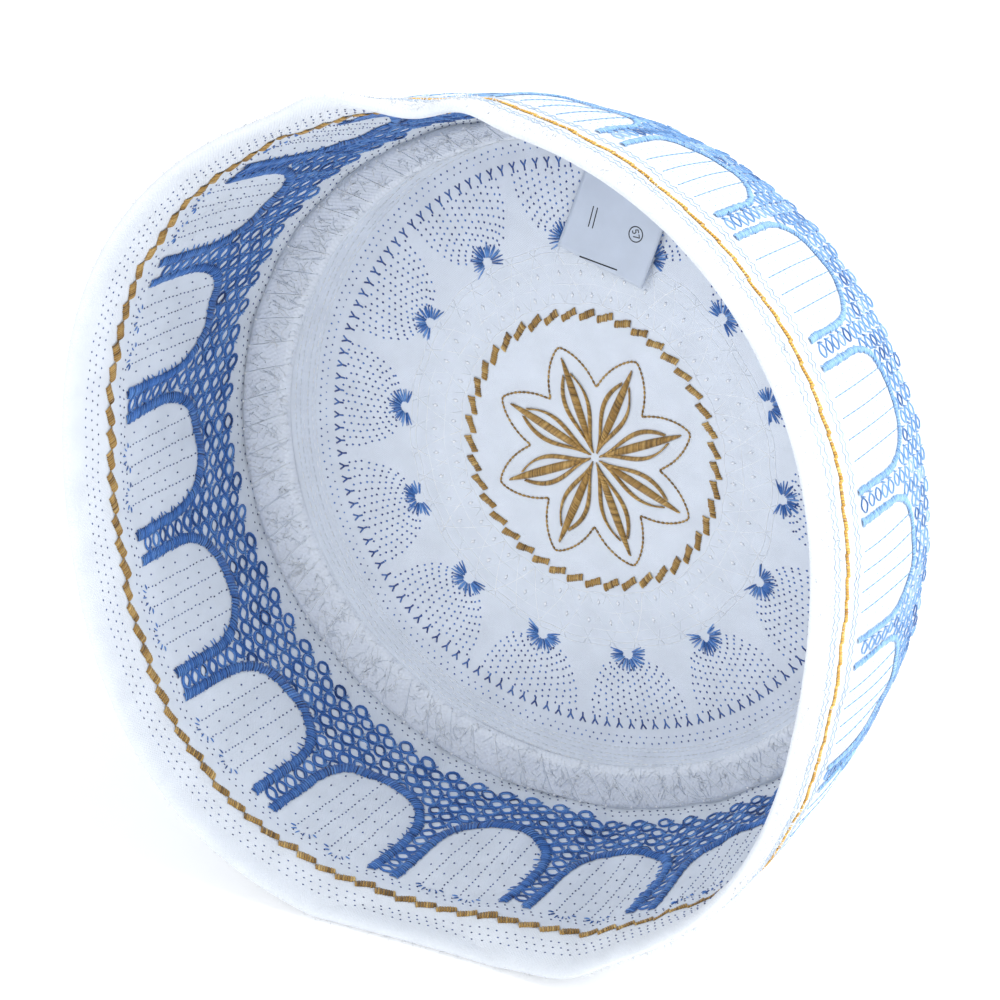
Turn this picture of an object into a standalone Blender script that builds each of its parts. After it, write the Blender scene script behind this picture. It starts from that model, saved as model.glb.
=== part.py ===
"""A kufi, a soft embroidered cap, lying on its side with its opening to the front.

The cap has its own frame, used by all the shape functions below: millimetres, x to the right, y up and z out of
the opening, with its zero at the middle of the seam between crown and side band. Angles run round the opening,
from +x towards +y, so the floor is at 270 degrees. place() turns that frame into the model's: metres, +Z up.
"""

import bpy
import numpy as np

MM = 0.001

# Driving dimensions, in millimetres and degrees.
HEAD_SIZE = 570.0       # round the head, as the size label says
WALL_HEIGHT = 50.8      # seam to gold line
HEM_HEIGHT = 12.0       # gold line to rim edge
SEAM_RADIUS = 82.0
CLOTH = 2.0             # wall of the side band and of the crown
HEM_THICK = 2.8         # the hem is two layers of cloth
TAPE_THICK = 1.4
TAPE_INNER_RADIUS = 72.2
TAPE_FOLLOWS = 0.45     # how much of the seam's way out of round the tape's inner edge follows
LABEL_THICK = 0.8
LABEL_WIDTH = 21.8
LABEL_START = 66.8      # along its own line, from the point nearest the cap's middle
LABEL_LENGTH = 26.4
LABEL_ANGLE = 79.5      # the way it points
LABEL_ASIDE = -10.6     # how far its centre line passes from the cap's middle
LABEL_STEP = 3.0        # how far inside the tape it steps down to the crown
LABEL_STEP_WIDTH = 0.7
LABEL_LIFT = 1.2        # how far its free end stands off the crown
GAP = 0.3               # between two pieces that are sewn together
WALL_BULGE = 1.8        # how far the middle of the wall stands out from a straight cone
SEAM_TURN = 0.8         # how far the cloth turns in where it meets the crown
SEAM_TURN_HEIGHT = 4.0
CROWN_LIFT = 1.0        # the middle of the crown lies this much nearer the opening
TILT = 11.1             # the opening looks up by this angle
CAP_AT = (4.04, 30.02, 85.5)     # the cap frame's zero in the model, in millimetres

COLUMNS = 108           # six to an arch
CROWN_COLUMNS = 90
LABEL_ROWS = 16

# How the soft cap leaves the round. Each row: how many lobes go round, how far a lobe moves the line in mm, and
# the angle of one lobe. One lobe moves the whole line sideways, two make it oval, three to five are soft corners.
SEAM_OUT = ((1, 6.2, -118), (2, 2.9, 15), (3, 1.4, -83))
SEAM_FORWARD = ((2, 4.9, 20), (3, 0.7, 6))
RIM_OUT = ((1, 4.2, -117), (2, 0.7, -93), (3, 1.2, -94), (4, 1.5, -38), (5, 1.2, -50))
RIM_FORWARD = ((2, 5.4, 20), (3, 0.7, 9))
HEM_FLARE_MEAN = 2.4
HEM_FLARE = ((1, 2.4, -157), (2, 0.9, -80), (3, 1.0, -81), (5, 0.5, -81))

# Creases in the rim. Each row: angle, half width in degrees, how far out at the gold line and at the rim edge.
RIM_CREASES = (
    (118, 6, 0.0, 3.0),
    (105, 4, -0.5, -1.0),
    (97, 5, 1.0, 2.2),
    (290, 6, 2.0, 2.4),
)

# Rows of the side band, as a share of the way from the seam to the gold line.
BAND_ROWS = (-0.02, 0.03, 0.08, 0.18, 0.32, 0.46, 0.6, 0.74, 0.88, 0.997)
# Rows of the hem: share of the way from the gold line to the rim edge, and thickness as a share of the full one.
HEM_ROWS = ((0.03, 0.71), (0.3, 0.9), (0.55, 1.0), (0.76, 1.0), (0.92, 0.85), (1.0, 0.4))
# Rows of the tape: share of the way from its inner edge to its outer one, and thickness as a share.
TAPE_ROWS = ((0.0, 0.55), (0.18, 0.9), (0.5, 1.0), (0.8, 0.95), (1.0, 0.6))
# Rings of the crown, as a share of its radius.
CROWN_RINGS = (0.2, 0.4, 0.58, 0.72, 0.84, 0.93, 1.0)

WHITE = (0.86, 0.89, 0.94)
FLEECE = (0.78, 0.82, 0.88)
SATIN = (0.84, 0.87, 0.93)


def lobes(table, angle):
    """The sum of a table's lobes: size times the cosine of (number times the angle from that lobe)."""
    return sum(size * np.cos(number * (angle - np.radians(at))) for number, size, at in table)


def creases(angle, column):
    """The sum of the rim's creases: each a bell curve round its own angle."""
    total = np.zeros_like(angle)
    for row in RIM_CREASES:
        away = (angle - np.radians(row[0]) + np.pi) % (2 * np.pi) - np.pi
        total = total + row[column] * np.exp(-((away / np.radians(row[1])) ** 2))
    return total


def seam_line(angle):
    """Radius and height of the seam between crown and side band."""
    return SEAM_RADIUS + lobes(SEAM_OUT, angle), lobes(SEAM_FORWARD, angle)


def gold_line(angle):
    """Radius and height of the gold line, where the hem begins."""
    radius = HEAD_SIZE / (2 * np.pi) - 0.3 + lobes(RIM_OUT, angle) + creases(angle, 2)
    return radius, WALL_HEIGHT + lobes(RIM_FORWARD, angle)


def rim_edge(angle):
    """Radius and height of the rim edge: the hem's height on from the gold line, leaning out by its flare."""
    flare = HEM_FLARE_MEAN + lobes(HEM_FLARE, angle)
    radius, height = gold_line(angle)
    crease = creases(angle, 3) - creases(angle, 2)
    return radius + flare + crease, height + np.sqrt(HEM_HEIGHT**2 - flare**2)


def floor_radius(angle, height, clear):
    """The radius at which a line at this angle and height reaches the floor, less the clearance."""
    down = -np.cos(np.radians(TILT)) * np.sin(angle)
    reach = CAP_AT[2] + np.sin(np.radians(TILT)) * height - clear
    return np.where(down > 0.2, reach / np.maximum(down, 0.2), np.inf)


def point(radius, angle, height, clear):
    """The point at this radius, angle and height, or where the cloth lies flat on the floor if that is nearer."""
    radius = np.minimum(radius, floor_radius(angle, height, clear))
    return np.stack([radius * np.cos(angle), radius * np.sin(angle), height + 0 * angle], -1)


def wall_middle(angle, share):
    """The middle of the side band's cloth. It runs straight from seam to gold line, plus a bulge of a parabola,
    less the turn of a quarter parabola next to the seam."""
    seam_r, seam_z = seam_line(angle)
    gold_r, gold_z = gold_line(angle)
    turn = SEAM_TURN * np.clip(1 - share * WALL_HEIGHT / SEAM_TURN_HEIGHT, 0, 1) ** 2
    bulge = WALL_BULGE * 4 * share * (1 - share)
    radius = seam_r + (gold_r - seam_r) * share + bulge - turn
    return point(radius, angle, seam_z + (gold_z - seam_z) * share, CLOTH / 2)


def hem_middle(angle, share, part):
    """The middle of the hem: straight from the gold line to the rim edge. Its thickness here is a part of the
    full one."""
    gold_r, gold_z = gold_line(angle)
    edge_r, edge_z = rim_edge(angle)
    radius = gold_r + (edge_r - gold_r) * share
    return point(radius, angle, gold_z + (edge_z - gold_z) * share, HEM_THICK * part / 2)


def crown_height(radius, angle):
    """Height of the crown's middle surface: a saddle that follows the seam, with its middle raised."""
    share = (radius / SEAM_RADIUS) ** 2
    return CROWN_LIFT * (1 - share) + lobes(SEAM_FORWARD, angle) * share


def tape_inner(angle):
    """Radius of the tape's inner edge."""
    return TAPE_INNER_RADIUS + TAPE_FOLLOWS * lobes(SEAM_OUT, angle)


def crown_reach(angle):
    """Radius of the crown's edge, which meets the inner face of the side band's foot."""
    foot = wall_middle(angle, np.zeros_like(angle))
    return np.hypot(foot[:, 0], foot[:, 1]) - CLOTH / 2 - GAP


def place(points):
    """From the cap frame to the model's: z goes to the front and up by the tilt, y goes up."""
    x, y, z = points[..., 0], points[..., 1], points[..., 2]
    lean = np.radians(TILT)
    right = x + CAP_AT[0]
    back = y * np.sin(lean) - z * np.cos(lean) + CAP_AT[1]
    up = y * np.cos(lean) + z * np.sin(lean) + CAP_AT[2]
    return np.stack([right, back, up], -1) * MM


def outward(grid):
    """Unit normals of a grid of rows by columns whose columns close into a ring."""
    across = np.gradient(grid, axis=0)
    around = np.roll(grid, -1, axis=1) - np.roll(grid, 1, axis=1)
    normal = np.cross(around, across)
    return normal / np.linalg.norm(normal, axis=-1, keepdims=True)


def material(name, colour, roughness):
    made = bpy.data.materials.new(name)
    made.use_nodes = True
    shader = made.node_tree.nodes["Principled BSDF"]
    shader.inputs["Base Color"].default_value = (*colour, 1)
    shader.inputs["Roughness"].default_value = roughness
    shader.inputs["Metallic"].default_value = 0
    return made


def add_object(name, points, faces, finish):
    mesh = bpy.data.meshes.new(name)
    mesh.from_pydata(points.reshape(-1, 3).tolist(), [], faces)
    mesh.materials.append(finish)
    mesh.shade_smooth()
    mesh.set_sharp_from_angle(angle=np.radians(50))
    made = bpy.data.objects.new(name, mesh)
    bpy.context.scene.collection.objects.link(made)
    return made


def ring_faces(loop, columns):
    """Quads between neighbouring columns, each column a closed loop of points, stored loop point by loop point."""
    faces = []
    for i in range(loop):
        for j in range(columns):
            after, beside = (i + 1) % loop, (j + 1) % columns
            faces.append((i * columns + j, i * columns + beside, after * columns + beside, after * columns + j))
    return faces


def cloth_ring(name, middle, thickness, finish):
    """A closed ring of cloth: its middle surface as rows by columns, thickened by a value for each row."""
    half = np.array(thickness).reshape(-1, 1, 1) / 2
    normal = outward(middle)
    outer = middle + normal * half
    inner = middle - normal * half
    loop = np.concatenate([outer, inner[::-1]])
    return add_object(name, place(loop), ring_faces(len(loop), middle.shape[1]), finish)


def side_band():
    angle = np.linspace(0, 2 * np.pi, COLUMNS, endpoint=False)
    middle = np.stack([wall_middle(angle, share) for share in BAND_ROWS])
    return cloth_ring("side_band", middle, [CLOTH] * len(BAND_ROWS), material("band_cloth", WHITE, 0.85))


def rim_hem():
    angle = np.linspace(0, 2 * np.pi, COLUMNS, endpoint=False)
    middle = np.stack([hem_middle(angle, share, part) for share, part in HEM_ROWS])
    thickness = [HEM_THICK * part for _, part in HEM_ROWS]
    return cloth_ring("rim_hem", middle, thickness, material("hem_cloth", WHITE, 0.9))


def crown():
    """A disc of rings round a middle point, thickened both ways by Solidify."""
    angle = np.linspace(0, 2 * np.pi, CROWN_COLUMNS, endpoint=False)
    reach = crown_reach(angle)
    rings = []
    for share in CROWN_RINGS:
        radius = reach * share
        rings.append(np.stack([radius * np.cos(angle), radius * np.sin(angle), crown_height(radius, angle)], -1))
    points = np.concatenate([[[0, 0, CROWN_LIFT]]] + rings)
    faces = []
    for j in range(CROWN_COLUMNS):
        beside = (j + 1) % CROWN_COLUMNS
        faces.append((0, 1 + j, 1 + beside))
        for i in range(len(CROWN_RINGS) - 1):
            inside, outside = 1 + i * CROWN_COLUMNS, 1 + (i + 1) * CROWN_COLUMNS
            faces.append((inside + j, outside + j, outside + beside, inside + beside))
    made = add_object("crown", place(points), faces, material("crown_cloth", WHITE, 0.85))
    shell = made.modifiers.new("Cloth", "SOLIDIFY")
    shell.thickness = CLOTH * MM
    shell.offset = 0
    return made


def seam_band():
    """The fleecy tape: a ring lying on the crown, from its inner edge out to the side band."""
    angle = np.linspace(0, 2 * np.pi, CROWN_COLUMNS, endpoint=False)
    inner_radius = tape_inner(angle)
    outer_radius = crown_reach(angle) - 2 * GAP
    rows = []
    for share, part in TAPE_ROWS:
        radius = inner_radius + (outer_radius - inner_radius) * share
        height = crown_height(radius, angle) + CLOTH / 2 + 1.5 * GAP + TAPE_THICK * part / 2
        rows.append(np.stack([radius * np.cos(angle), radius * np.sin(angle), height], -1))
    thickness = [TAPE_THICK * part for _, part in TAPE_ROWS]
    # The tape's outer face looks into the cap, so the rows run from the wall to the middle.
    return cloth_ring("seam_band", np.stack(rows)[::-1], thickness[::-1], material("fleece", FLEECE, 0.95))


def label_middle(along, across):
    """The label's middle surface. It starts on the tape by the seam, steps down to the crown where the tape ends
    and lifts a little towards its free end."""
    lean = np.radians(LABEL_ANGLE)
    outward_way = LABEL_START - along
    aside = LABEL_ASIDE + across
    x = outward_way * np.cos(lean) + aside * np.sin(lean)
    y = outward_way * np.sin(lean) - aside * np.cos(lean)
    radius, angle = np.hypot(x, y), np.arctan2(y, x)
    on_tape = 1 / (1 + np.exp((tape_inner(angle) - LABEL_STEP - radius) / LABEL_STEP_WIDTH))
    lift = LABEL_LIFT * (along / LABEL_LENGTH) ** 3
    rest = crown_height(radius, angle) + CLOTH / 2 + GAP + LABEL_THICK / 2
    return np.stack([x, y, rest + on_tape * (TAPE_THICK + 2 * GAP) + lift], -1)


def size_label():
    """A strip of satin tape, thickened both ways by Solidify."""
    along = np.linspace(0, LABEL_LENGTH, LABEL_ROWS)
    across = np.linspace(-LABEL_WIDTH / 2, LABEL_WIDTH / 2, 5)
    points = label_middle(along[:, None], across[None, :])
    faces = []
    for i in range(len(along) - 1):
        for j in range(len(across) - 1):
            near, far = i * len(across) + j, (i + 1) * len(across) + j
            faces.append((near, near + 1, far + 1, far))
    made = add_object("size_label", place(points), faces, material("label_satin", SATIN, 0.5))
    shell = made.modifiers.new("Tape", "SOLIDIFY")
    shell.thickness = LABEL_THICK * MM
    shell.offset = 0
    return made


for old in list(bpy.data.objects):
    bpy.data.objects.remove(old, do_unlink=True)

side_band()
rim_hem()
crown()
seam_band()
size_label()
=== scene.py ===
"""A kufi, a soft embroidered cap lying on its side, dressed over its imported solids.

The cap has its own frame: millimetres, x to the right, y up, z out of the opening, zero at the middle of the crown's
seam. Angles run round the opening from +x towards +y, so the floor is at 270 degrees. place() turns it into metres.
"""

import bpy
import numpy as np
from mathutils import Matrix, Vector


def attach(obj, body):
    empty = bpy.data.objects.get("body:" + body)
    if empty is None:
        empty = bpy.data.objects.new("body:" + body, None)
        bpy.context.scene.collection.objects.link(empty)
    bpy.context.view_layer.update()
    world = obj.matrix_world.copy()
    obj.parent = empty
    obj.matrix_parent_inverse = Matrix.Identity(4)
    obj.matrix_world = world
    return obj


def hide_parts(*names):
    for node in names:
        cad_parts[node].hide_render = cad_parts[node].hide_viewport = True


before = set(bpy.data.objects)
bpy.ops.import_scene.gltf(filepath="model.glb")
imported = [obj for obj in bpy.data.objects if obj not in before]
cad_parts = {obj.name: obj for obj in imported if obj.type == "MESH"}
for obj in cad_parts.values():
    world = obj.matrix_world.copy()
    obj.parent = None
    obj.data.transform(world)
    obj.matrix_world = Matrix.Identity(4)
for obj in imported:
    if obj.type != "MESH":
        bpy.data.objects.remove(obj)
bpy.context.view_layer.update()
rng = np.random.default_rng(57)

# ---- Side band cloth ------------------------------------------------------------------------------------------
# The cap's wall: white polyester cotton quilted to an interlining, cut as one strip, joined at its short ends and
# sewn to the crown. It is soft, so it leaves the round and lies flat along the floor.
WALL_HEIGHT, HEM_HEIGHT, SEAM_RADIUS, GOLD_RADIUS = 50.8, 12.0, 82.0, 90.42
CLOTH, HEM_THICK, FLOOR_THREAD = 2.0, 2.8, 0.3
TILT, CAP_AT = np.radians(11.1), (4.04, 30.02, 85.5)
SEAM_OUT = ((1, 6.2, -118), (2, 2.9, 15), (3, 1.4, -83))
SEAM_FORWARD = ((2, 4.9, 20), (3, 0.7, 6))
RIM_OUT = ((1, 4.2, -117), (2, 0.7, -93), (3, 1.2, -94), (4, 1.5, -38), (5, 1.2, -50))
RIM_FORWARD = ((2, 5.4, 20), (3, 0.7, 9))
HEM_FLARE = ((1, 2.4, -157), (2, 0.9, -80), (3, 1.0, -81), (5, 0.5, -81))
RIM_CREASES = ((118, 6, 0.0, 3.0), (105, 4, -0.5, -1.0), (97, 5, 1.0, 2.2), (290, 6, 2.0, 2.4))
ARCHES, FIRST_PILLAR = 18, 100.8     # arches round the band, and the angle of the first pillar between two
ARCH = 31.77                         # one arch along the gold line


def lobes(table, angle):
    """Sum of size times the cosine of (number times the angle from that lobe)."""
    return sum(size * np.cos(number * (angle - np.radians(at))) for number, size, at in table)


def creases(angle, column):
    """Sum of bell curves, each round its own angle."""
    total = 0 * angle
    for row in RIM_CREASES:
        away = (angle - np.radians(row[0]) + np.pi) % (2 * np.pi) - np.pi
        total = total + row[column] * np.exp(-((away / np.radians(row[1])) ** 2))
    return total


def seam_line(angle):
    return SEAM_RADIUS + lobes(SEAM_OUT, angle), lobes(SEAM_FORWARD, angle)


def gold_line(angle):
    return GOLD_RADIUS + lobes(RIM_OUT, angle) + creases(angle, 2), WALL_HEIGHT + lobes(RIM_FORWARD, angle)


def band_middle(angle, height):
    """Middle of the cloth: a straight line from seam to gold line plus a parabola's bulge, then straight on along
    the hem's flare. Where the floor is nearer than that radius, the cloth lies on the floor."""
    seam_r, seam_z = seam_line(angle)
    gold_r, gold_z = gold_line(angle)
    share = np.clip(height / WALL_HEIGHT, -0.02, 1)
    turn = 0.8 * np.clip(1 - height / 4, 0, 1) ** 2
    flare = 2.4 + lobes(HEM_FLARE, angle)
    on = np.clip((height - WALL_HEIGHT) / HEM_HEIGHT, 0, 1)
    radius = seam_r + (gold_r - seam_r) * share + 7.2 * share * (1 - share) - turn
    radius = radius + on * (flare + creases(angle, 3) - creases(angle, 2))
    z = seam_z + (gold_z - seam_z) * share + on * np.sqrt(HEM_HEIGHT**2 - flare**2)
    down = -np.cos(TILT) * np.sin(angle)
    reach = CAP_AT[2] + np.sin(TILT) * z - CLOTH / 2 - FLOOR_THREAD - 0.35 * on
    radius = np.where(down > 0.2, np.minimum(radius, reach / np.maximum(down, 0.2)), radius)
    return np.stack([radius * np.cos(angle), radius * np.sin(angle), z], -1)


turn_table = np.linspace(0, 2 * np.pi, 2881) + np.radians(FIRST_PILLAR)
on_gold = band_middle(turn_table, np.full(2881, WALL_HEIGHT))
arch_table = np.append(0, np.cumsum(np.linalg.norm(np.diff(on_gold, axis=0), axis=1)))
arch_table *= ARCHES / arch_table[-1]


def angle_at(arch):
    """The angle of an arch number, by arc length along the gold line; whole numbers are the pillars."""
    return np.interp(arch % ARCHES, arch_table, turn_table)


def puff(arch, height):
    """Relief in mm: shallow channels along the four stitched lines of a window and along the rows next to the gold
    line, each a bell curve, plus slow waves where the soft cloth gives."""
    across = ((arch % 1) - 0.5) * ARCH
    lines = sum(np.exp(-(((across - at) / 0.8) ** 2)) for at in (-6.6, -2.2, 2.2, 6.6))
    rows = sum(np.exp(-(((height - at) / 0.6) ** 2)) for at in (1.6, 44.6, 46, WALL_HEIGHT, 55.4, 57.2))
    turn = arch / ARCHES * 2 * np.pi
    waves = 0.25 * np.sin(23 * turn + height / 9) + 0.2 * np.sin(37 * turn - height / 6 + 1) + 0.12 * np.sin(61 * turn)
    return waves - 0.16 * lines * (height > 18) * (height < 44) - 0.14 * rows


def band_at(arch, height, side, lift=0.0):
    """Point and normal on the band's inner (side -1) or outer (side 1) face. The normal is the cross product of two
    small steps, round the cap and towards the rim."""
    arch, height = np.broadcast_arrays(np.asarray(arch, float), np.asarray(height, float))
    angle, step = angle_at(arch), 0.004
    middle = band_middle(angle, height)
    round_way = band_middle(angle + step, height) - band_middle(angle - step, height)
    rim_way = band_middle(angle, height + 0.3) - band_middle(angle, height - 0.3)
    rim_way = np.where(np.linalg.norm(rim_way, axis=-1, keepdims=True) < 1e-6, [0.0, 0, 1], rim_way)
    normal = np.cross(round_way, rim_way)
    normal *= side / np.linalg.norm(normal, axis=-1, keepdims=True)
    on = np.clip((height - WALL_HEIGHT) / HEM_HEIGHT, 0, 1)
    thick = CLOTH + (HEM_THICK - CLOTH) * np.minimum(on / 0.3, 1)
    thick = thick * np.sqrt(np.clip(1 - np.clip((on - 0.75) / 0.25, 0, 1) ** 2, 0.02, 1))
    out = thick / 2 + (puff(arch, height) if side < 0 else 0.5 * puff(arch, height)) * (1 - on) + lift
    return middle + normal * out[..., None], normal


def place(points):
    """From the cap frame to the model's, in metres: z goes to the front and up by the tilt, y goes up. Nothing goes
    below the floor."""
    x, y, z = points[..., 0], points[..., 1], points[..., 2]
    back = y * np.sin(TILT) - z * np.cos(TILT) + CAP_AT[1]
    up = np.maximum(y * np.cos(TILT) + z * np.sin(TILT) + CAP_AT[2], 0)
    return np.stack([x + CAP_AT[0], back, up], -1) * 0.001


def add_piece(name, points, triangles, finish, uv=None, shade=None):
    """A mesh of triangles from whole arrays, with its own UV map for the weave or its shade of thread."""
    mesh = bpy.data.meshes.new(name)
    mesh.vertices.add(len(points))
    mesh.vertices.foreach_set("co", place(points).astype(np.float32).ravel())
    mesh.loops.add(triangles.size)
    mesh.loops.foreach_set("vertex_index", triangles.astype(np.int32).ravel())
    mesh.polygons.add(len(triangles))
    mesh.polygons.foreach_set("loop_start", np.arange(0, triangles.size, 3, dtype=np.int32))
    mesh.update(calc_edges=True)
    if uv is not None:
        mesh.uv_layers.new(name="cloth_way").data.foreach_set("uv", uv.astype(np.float32).ravel())
    if shade is not None:
        mesh.attributes.new("shade", "FLOAT", "POINT").data.foreach_set("value", shade.astype(np.float32).ravel())
    mesh.shade_smooth()
    mesh.materials.append(finish)
    piece = bpy.data.objects.new(name, mesh)
    bpy.context.scene.collection.objects.link(piece)
    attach(piece, "root")
    return piece


def sheet_piece(name, grid, uv, finish, closed_rows=True):
    """A grid of rows by columns whose columns close into a ring. Its rows close too, or end in a point. Each cell is
    two triangles, less those that a point shrinks to nothing."""
    rows, columns = grid.shape[:2]
    number = np.arange(rows * columns).reshape(rows, columns)
    if not closed_rows:
        number[0], number[-1] = number[0, 0], number[-1, 0]
    number = np.pad(number, ((0, closed_rows), (0, 1)), mode="wrap")
    flat = np.arange(number.size).reshape(number.shape)
    a, b, c, d = flat[:-1, :-1].ravel(), flat[:-1, 1:].ravel(), flat[1:, 1:].ravel(), flat[1:, :-1].ravel()
    corners = np.concatenate([np.stack([a, b, c], -1), np.stack([a, c, d], -1)])
    faces = number.ravel()[corners]
    whole = (faces[:, 0] != faces[:, 1]) & (faces[:, 1] != faces[:, 2]) & (faces[:, 0] != faces[:, 2])
    return add_piece(name, grid.reshape(-1, 3), faces[whole], finish, uv.reshape(-1, 2)[corners[whole]])


def band_loop(heights_out, heights_in, columns):
    """Outer rows from seam to rim, then inner rows back, and their UV in units of 10 mm."""
    arch = np.linspace(0, ARCHES, columns + 1)
    rows = [(h, 1) for h in heights_out] + [(h, -1) for h in heights_in]
    grid = np.stack([band_at(arch[:-1], h, side)[0] for h, side in rows])
    way = np.array([h for h, _ in rows + rows[:1]]) / 10
    uv = np.stack(np.broadcast_arrays(arch[None, :] * ARCH / 10, way[:, None]), -1)
    return grid, uv


def new_group(name, inputs, outputs):
    group = bpy.data.node_groups.new(name, "ShaderNodeTree")
    for socket, kind, value in inputs:
        made = group.interface.new_socket(socket, in_out="INPUT", socket_type=kind)
        if value is not None:
            made.default_value = value
    for socket, kind in outputs:
        group.interface.new_socket(socket, in_out="OUTPUT", socket_type=kind)
    return group, group.nodes.new("NodeGroupInput"), group.nodes.new("NodeGroupOutput")


def node(tree, kind, settings=(), **inputs):
    """A node with its settings, and its inputs linked or set by name or number."""
    made = tree.nodes.new("ShaderNode" + kind)
    for key, value in dict(settings).items():
        setattr(made, key, value)
    for key, value in inputs.items():
        socket = made.inputs[int(key[1:]) if key[0] == "_" and key[1:].isdigit() else key.replace("_", " ")]
        if isinstance(value, bpy.types.NodeSocket):
            tree.links.new(value, socket)
        else:
            socket.default_value = value
    return made


def weave_group():
    """Plain weave: two sets of threads, each a sine wave across its own way, over and under by the product of
    their signs; and a slow mottling of the cloth's tone."""
    tree, inside, out = new_group("plain_weave", [("Way", "NodeSocketVector", None), ("Threads", "NodeSocketFloat", 20.0),
                                  ("Tone", "NodeSocketColor", None)], [("Height", "NodeSocketFloat"), ("Color", "NodeSocketColor")])
    scaled = node(tree, "VectorMath", {"operation": "SCALE"}, _0=inside.outputs["Way"], Scale=inside.outputs["Threads"])
    split = node(tree, "SeparateXYZ", _0=scaled.outputs[0])
    waves = []
    for axis in "XY":
        turned = node(tree, "Math", {"operation": "MULTIPLY"}, _0=split.outputs[axis], _1=6.2832)
        waves.append(node(tree, "Math", {"operation": "SINE"}, _0=turned.outputs[0]).outputs[0])
    crossed = node(tree, "Math", {"operation": "MULTIPLY"}, _0=waves[0], _1=waves[1])
    noise = node(tree, "TexNoise", Vector=inside.outputs["Way"], Scale=9.0, Detail=6.0, Roughness=0.7)
    height = node(tree, "Math", {"operation": "MULTIPLY_ADD"}, _0=crossed.outputs[0], _1=0.35, _2=noise.outputs["Fac"])
    slow = node(tree, "TexNoise", Vector=inside.outputs["Way"], Scale=1.3, Detail=4.0)
    dim = node(tree, "MapRange", _0=slow.outputs["Fac"], _1=0.3, _2=0.7, _3=0.94, _4=1.03)
    colour = node(tree, "VectorMath", {"operation": "SCALE"}, _0=inside.outputs["Tone"], Scale=dim.outputs[0])
    tree.links.new(height.outputs[0], out.inputs["Height"])
    tree.links.new(colour.outputs[0], out.inputs["Color"])
    return tree


WEAVE = weave_group()


def cloth_finish(name, tone, threads, depth, roughness, sheen=0.2):
    """Cloth: the weave gives its colour and bump, with a soft sheen on top."""
    finish = bpy.data.materials.new(name)
    finish.use_nodes = True
    tree = finish.node_tree
    shader = tree.nodes["Principled BSDF"]
    shader.inputs["Roughness"].default_value = roughness
    shader.inputs["Sheen Weight"].default_value = sheen
    shader.inputs["Sheen Roughness"].default_value = 0.6
    shader.inputs["Specular IOR Level"].default_value = 0.25
    way = tree.nodes.new("ShaderNodeUVMap")
    way.uv_map = "cloth_way"
    weave = tree.nodes.new("ShaderNodeGroup")
    weave.node_tree = WEAVE
    weave.inputs["Threads"].default_value = threads
    weave.inputs["Tone"].default_value = (*tone, 1)
    tree.links.new(way.outputs[0], weave.inputs["Way"])
    bump = node(tree, "Bump", Height=weave.outputs["Height"], Strength=0.5, Distance=depth)
    tree.links.new(weave.outputs["Color"], shader.inputs["Base Color"])
    tree.links.new(bump.outputs[0], shader.inputs["Normal"])
    return finish


WHITE = (0.80, 0.85, 0.92)
band_rows = np.linspace(-1.0, WALL_HEIGHT, 48)
grid, uv = band_loop(band_rows, band_rows[::-1], 720)
band_cloth = sheet_piece("band_cloth", grid, uv, cloth_finish("quilted_white_cloth", WHITE, 18, 0.00018, 0.85))
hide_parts("side_band")

# ---- Hem --------------------------------------------------------------------------------------------------------
# The rim's binding: the band's cloth is folded over a soft strip, brushed on its outside and held by the gold
# line. It flares out and creases where the cap has been folded.
hem_rows = WALL_HEIGHT + HEM_HEIGHT * np.append(np.linspace(0.005, 0.7, 10), np.sin(np.linspace(0.8, np.pi / 2, 9)))
grid, uv = band_loop(hem_rows, hem_rows[::-1], 900)
hem = sheet_piece("hem_binding", grid, uv, cloth_finish("brushed_hem", (0.83, 0.87, 0.93), 14, 0.0003, 0.95, 0.5))
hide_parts("rim_hem")

# ---- Crown cloth ----------------------------------------------------------------------------------------------
# The round top of the cap, one disc of the same quilted cloth, sewn into the band's foot. Its middle stands a
# little towards the opening.


def crown_height(radius, angle):
    share = (radius / SEAM_RADIUS) ** 2
    return (1 - share) + lobes(SEAM_FORWARD, angle) * share


def crown_at(x, y, side, lift=0.0):
    """Point and normal on the crown's inner (side 1) or outer (side -1) face, over x and y. The relief is shallow
    rings where the quilting pulls the cloth in, and slow waves."""
    x, y = np.broadcast_arrays(np.asarray(x, float), np.asarray(y, float))

    def middle(x, y):
        radius, angle = np.hypot(x, y), np.arctan2(y, x)
        rings = sum(np.exp(-(((radius - at) / 0.7) ** 2)) for at in (30.2, 36.8, 41.2, 66.3, 69.5, 72))
        waves = 0.22 * np.sin(5 * angle + radius / 11) * (radius / 80) + 0.1 * np.sin(x / 5 + 1) * np.sin(y / 6)
        return np.stack([x, y, crown_height(radius, angle) - side * 0.12 * rings + waves], -1)

    normal = np.cross(middle(x + 0.2, y) - middle(x - 0.2, y), middle(x, y + 0.2) - middle(x, y - 0.2))
    normal *= side / np.linalg.norm(normal, axis=-1, keepdims=True)
    return middle(x, y) + normal * (CLOTH / 2 + lift), normal


def crown_reach(angle):
    foot = band_middle(angle, 0 * angle)
    return np.hypot(foot[..., 0], foot[..., 1]) - CLOTH / 2 + 0.6


around = np.linspace(0, 2 * np.pi, 361)
out_share = np.linspace(0, 1, 62)
radius = crown_reach(around[None, :]) * np.append(out_share, out_share[::-1])[:, None]
x, y = radius * np.cos(around), radius * np.sin(around)
grid = np.concatenate([crown_at(x[:62, :-1], y[:62, :-1], 1)[0], crown_at(x[62:, :-1], y[62:, :-1], -1)[0]])
# The crown is the band's cloth with a darker tone: painted shade.
crown = sheet_piece("crown_cloth", grid, np.stack([x, y], -1) / 10,
                    cloth_finish("crown_cloth_painted_shade", (0.74, 0.79, 0.87), 20, 0.00016, 0.85), closed_rows=False)
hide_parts("crown")

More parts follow.
